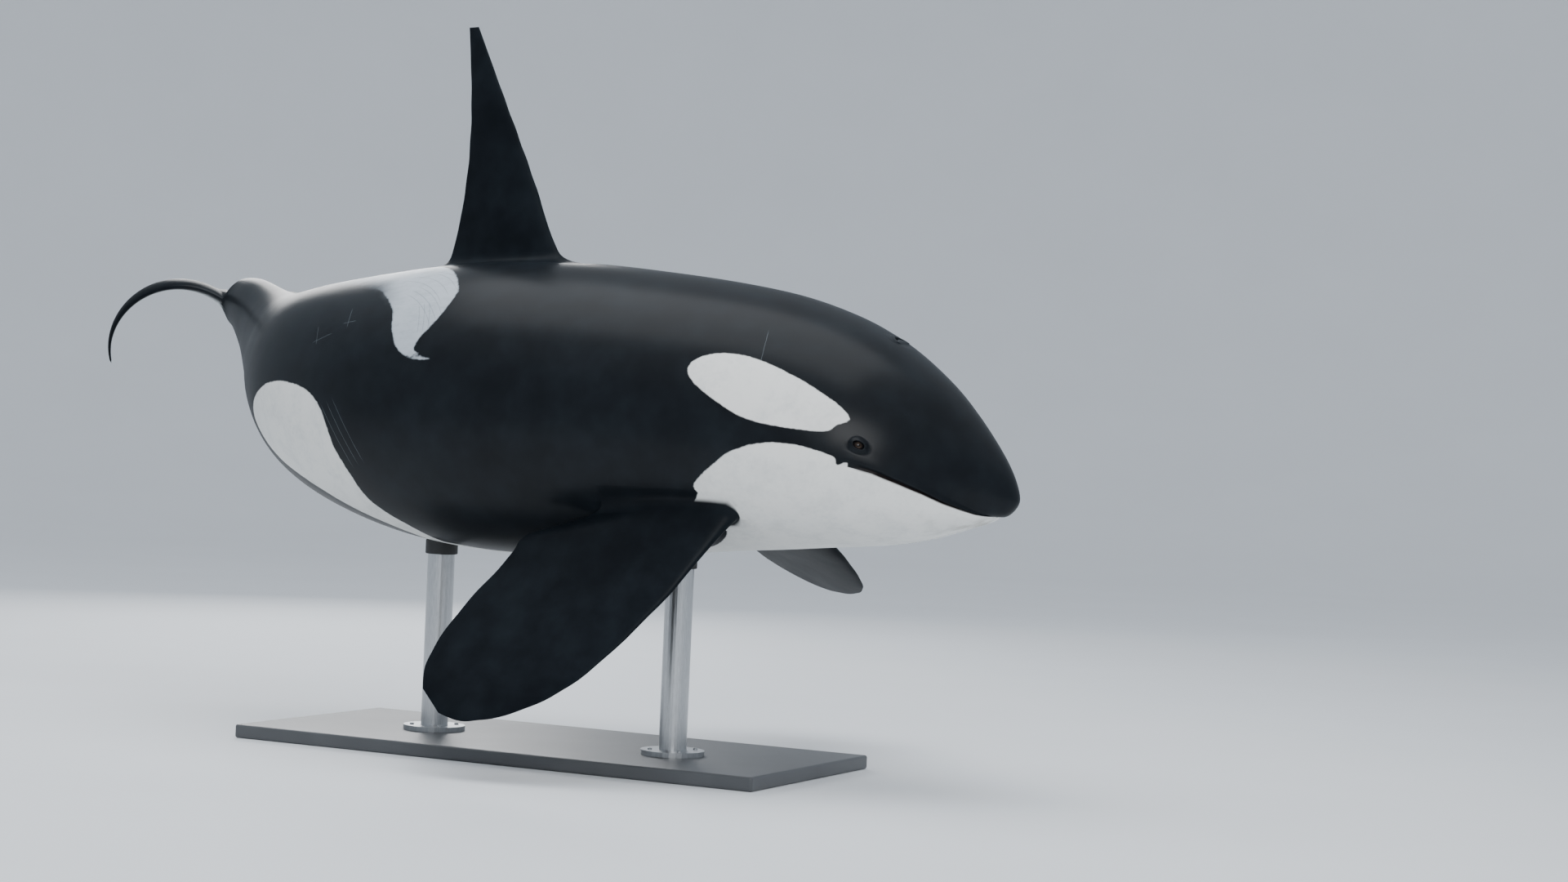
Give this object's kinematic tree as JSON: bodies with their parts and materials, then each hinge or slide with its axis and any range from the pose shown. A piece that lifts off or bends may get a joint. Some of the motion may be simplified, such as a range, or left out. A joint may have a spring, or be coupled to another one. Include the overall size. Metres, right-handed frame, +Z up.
{
  "type": "orca",
  "caption": "Life-size still model of a swimming adult orca with a tall dorsal fin, its tail swung to its left, on a flat base with upright rods.",
  "frame": {"origin": "middle of the underside of the stand's base, on the floor", "axes": "+X towards the orca's snout, +Y to its left, +Z up"},
  "size_m": [6.5675, 3.5719, 3.7321],
  "materials": {
    "black_skin": "satin, as smooth wet skin",
    "white_skin": "satin, as smooth wet skin",
    "eye": "polished",
    "brushed_steel": "brushed",
    "painted_base": "painted matt dark grey"
  },
  "bodies": {
    "root": {"head": "black_skin", "chest": "black_skin", "pectoral_right": "black_skin", "pectoral_left": "black_skin", "torso": "black_skin", "dorsal_fin": "black_skin", "tail": "black_skin", "tail_stock": "black_skin", "fluke_left": "black_skin", "fluke_right": "black_skin", "lower_jaw": "white_skin", "eye_right": "eye", "eye_left": "eye", "stand_rod_front": "brushed_steel", "stand_rod_rear": "brushed_steel", "stand_base": "painted_base"}
  },
  "joints": []
}
